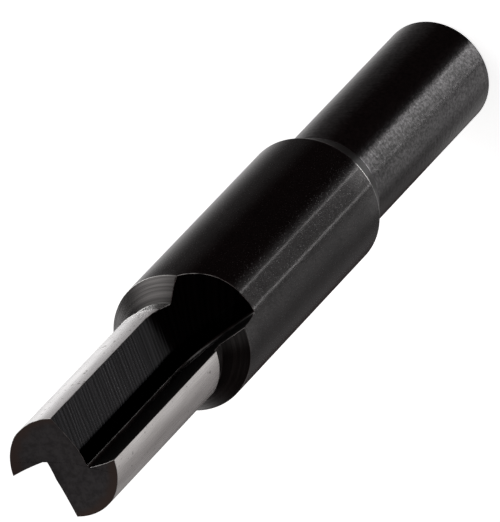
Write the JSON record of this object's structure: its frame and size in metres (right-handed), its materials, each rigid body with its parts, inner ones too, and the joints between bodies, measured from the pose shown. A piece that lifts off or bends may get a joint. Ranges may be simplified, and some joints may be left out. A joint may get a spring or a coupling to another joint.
{
  "type": "grooving router bit",
  "caption": "Straight-flute grooving router bit with a plain cylindrical shank, a larger cylindrical body and a slimmer end-cutting head that meets the body in a tapered shoulder.",
  "frame": {"origin": "centre of the flat end of the shank, on the bit's axis", "axes": "+Z along the bit's axis, from the shank end to the cutting end; +X points out of one flute, where its run-out leaves the body"},
  "size_m": [0.0158, 0.0158, 0.1016],
  "materials": {
    "black_oxide_steel": "black oxide over turned and milled tool steel, bare ground lands"
  },
  "bodies": {
    "root": {"router_bit": "black_oxide_steel"}
  },
  "joints": []
}
